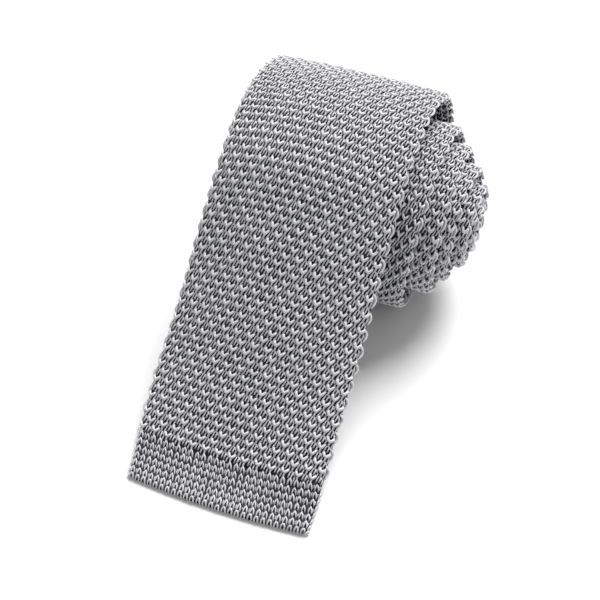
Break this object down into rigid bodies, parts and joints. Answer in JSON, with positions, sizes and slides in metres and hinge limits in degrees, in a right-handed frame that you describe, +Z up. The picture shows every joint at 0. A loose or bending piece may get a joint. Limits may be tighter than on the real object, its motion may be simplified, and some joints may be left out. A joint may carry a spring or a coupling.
{
  "type": "rolled knit tie",
  "caption": "Square-ended necktie knitted as a flat tube, rolled up from its neck, with the wide blade coming off the top of the roll and down to the table.",
  "frame": {"origin": "below the middle of the whole tie, on the surface that it lies on", "axes": "+Z up, X across the tie, -Y towards the tip of the blade and +Y towards the roll"},
  "size_m": [0.0796, 0.1314, 0.0669],
  "materials": {
    "body_knit": "silver-grey silky yarn in a raised tuck knit",
    "hem_knit": "silver-grey silky yarn in plain stockinette"
  },
  "bodies": {
    "root": {"front_hem": "hem_knit", "front_blade": "body_knit", "neck_band": "body_knit", "tail_blade": "body_knit", "tail_hem": "hem_knit"}
  },
  "joints": []
}
